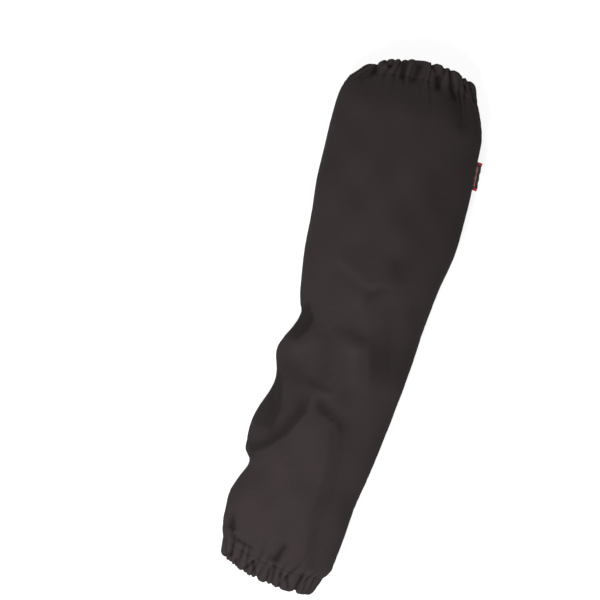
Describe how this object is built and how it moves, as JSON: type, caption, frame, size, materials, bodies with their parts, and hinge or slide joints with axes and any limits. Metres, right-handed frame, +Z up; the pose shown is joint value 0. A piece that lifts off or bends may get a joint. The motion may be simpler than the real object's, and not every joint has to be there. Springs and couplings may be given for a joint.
{
  "type": "welding sleeve",
  "caption": "Protective arm sleeve of heavy dark cotton: a tapered, softly filled tube with an elastic gathered cuff at wrist and biceps, a serged side seam and a small folded label.",
  "frame": {"origin": "middle of the footprint, on the surface that the sleeve lies on", "axes": "+Y along the sleeve from the wrist cuff to the biceps cuff, +X towards the side seam and its label, +Z up from the surface"},
  "size_m": [0.1584, 0.539, 0.064],
  "materials": {
    "cotton": "matt heavy twill",
    "elastic": "flat braided elastic",
    "serging": "overlocked raw edge",
    "woven_label": "satin-woven tape, black with red ends"
  },
  "bodies": {
    "root": {"sleeve_body": "cotton", "wrist_cuff": "cotton", "biceps_cuff": "cotton", "wrist_elastic": "elastic", "biceps_elastic": "elastic", "side_seam": "serging", "side_label": "woven_label"}
  },
  "joints": []
}
